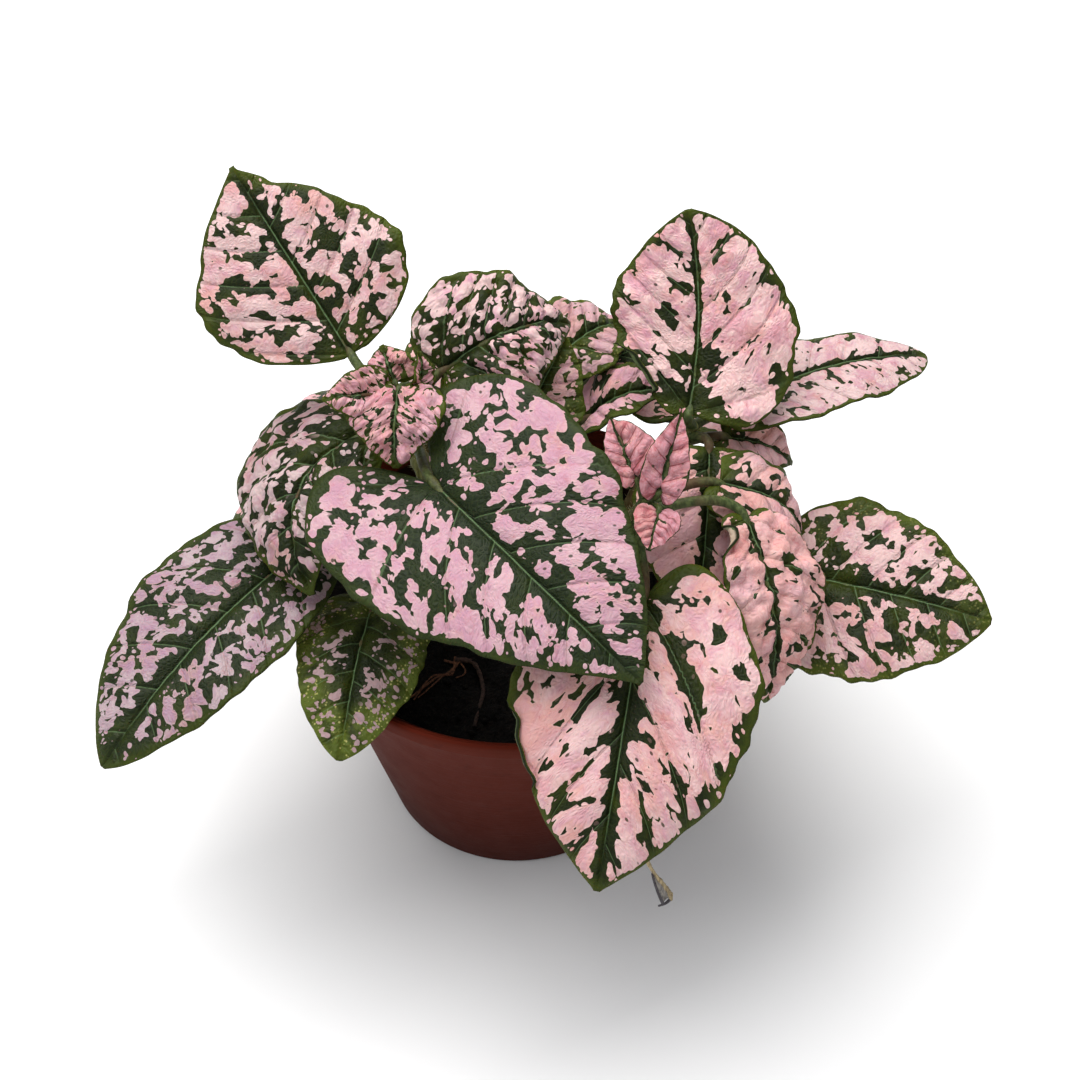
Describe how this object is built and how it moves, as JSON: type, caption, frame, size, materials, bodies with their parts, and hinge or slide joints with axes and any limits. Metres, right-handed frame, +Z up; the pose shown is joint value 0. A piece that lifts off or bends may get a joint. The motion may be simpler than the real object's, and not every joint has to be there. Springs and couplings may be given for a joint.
{
  "type": "potted polka dot plant",
  "caption": "Small tapered round pot filled with dark soil, with branching soft stems and broad pointed leaves, green splashed with pink.",
  "frame": {"origin": "centre of the pot's foot, on the surface it stands on", "axes": "+Z up the pot's axis, -Y towards the plant's best side, +X to its right"},
  "size_m": [0.1679, 0.1381, 0.1355],
  "materials": {
    "pot": "matt",
    "soil": "rough",
    "stem": "satin",
    "leaf": "satin",
    "dry": "rough"
  },
  "bodies": {
    "root": {"pot": "pot", "soil": "soil", "rootlets": "dry", "dried_stalk": "dry", "stem_right": "stem", "stem_upper_right": "stem", "stem_left": "stem", "stem_far_left": "stem", "stem_centre": "stem", "stem_back": "stem", "stem_back_left": "stem", "young_leaves_left": "leaf", "young_leaves_right": "leaf", "young_leaves_far_left": "leaf", "young_leaves_back_left": "leaf", "leaf_front_centre": "leaf", "leaf_low_left": "leaf", "leaf_mid_left": "leaf", "leaf_old_front": "leaf", "leaf_front_right": "leaf", "leaf_right_drooping": "leaf", "leaf_right_behind": "leaf", "leaf_centre_right": "leaf", "leaf_small_right": "leaf", "leaf_upper_right": "leaf", "leaf_far_right_upper": "leaf", "leaf_upper_left": "leaf", "leaf_upper_middle": "leaf", "leaf_behind_middle": "leaf", "leaf_shaded_middle": "leaf", "leaf_inner_right": "leaf", "leaf_inner_back": "leaf", "leaf_far_right_lower": "leaf", "leaf_left_side": "leaf", "leaf_right_side": "leaf", "leaf_back_right_upper": "leaf", "leaf_back_right_lower": "leaf", "leaf_inner_left": "leaf", "leaf_back_centre": "leaf", "leaf_back_middle_right": "leaf", "leaf_back_middle_left": "leaf", "leaf_back_left_upper": "leaf", "leaf_back_left_lower": "leaf", "leaf_back_left_outer": "leaf"}
  },
  "joints": []
}
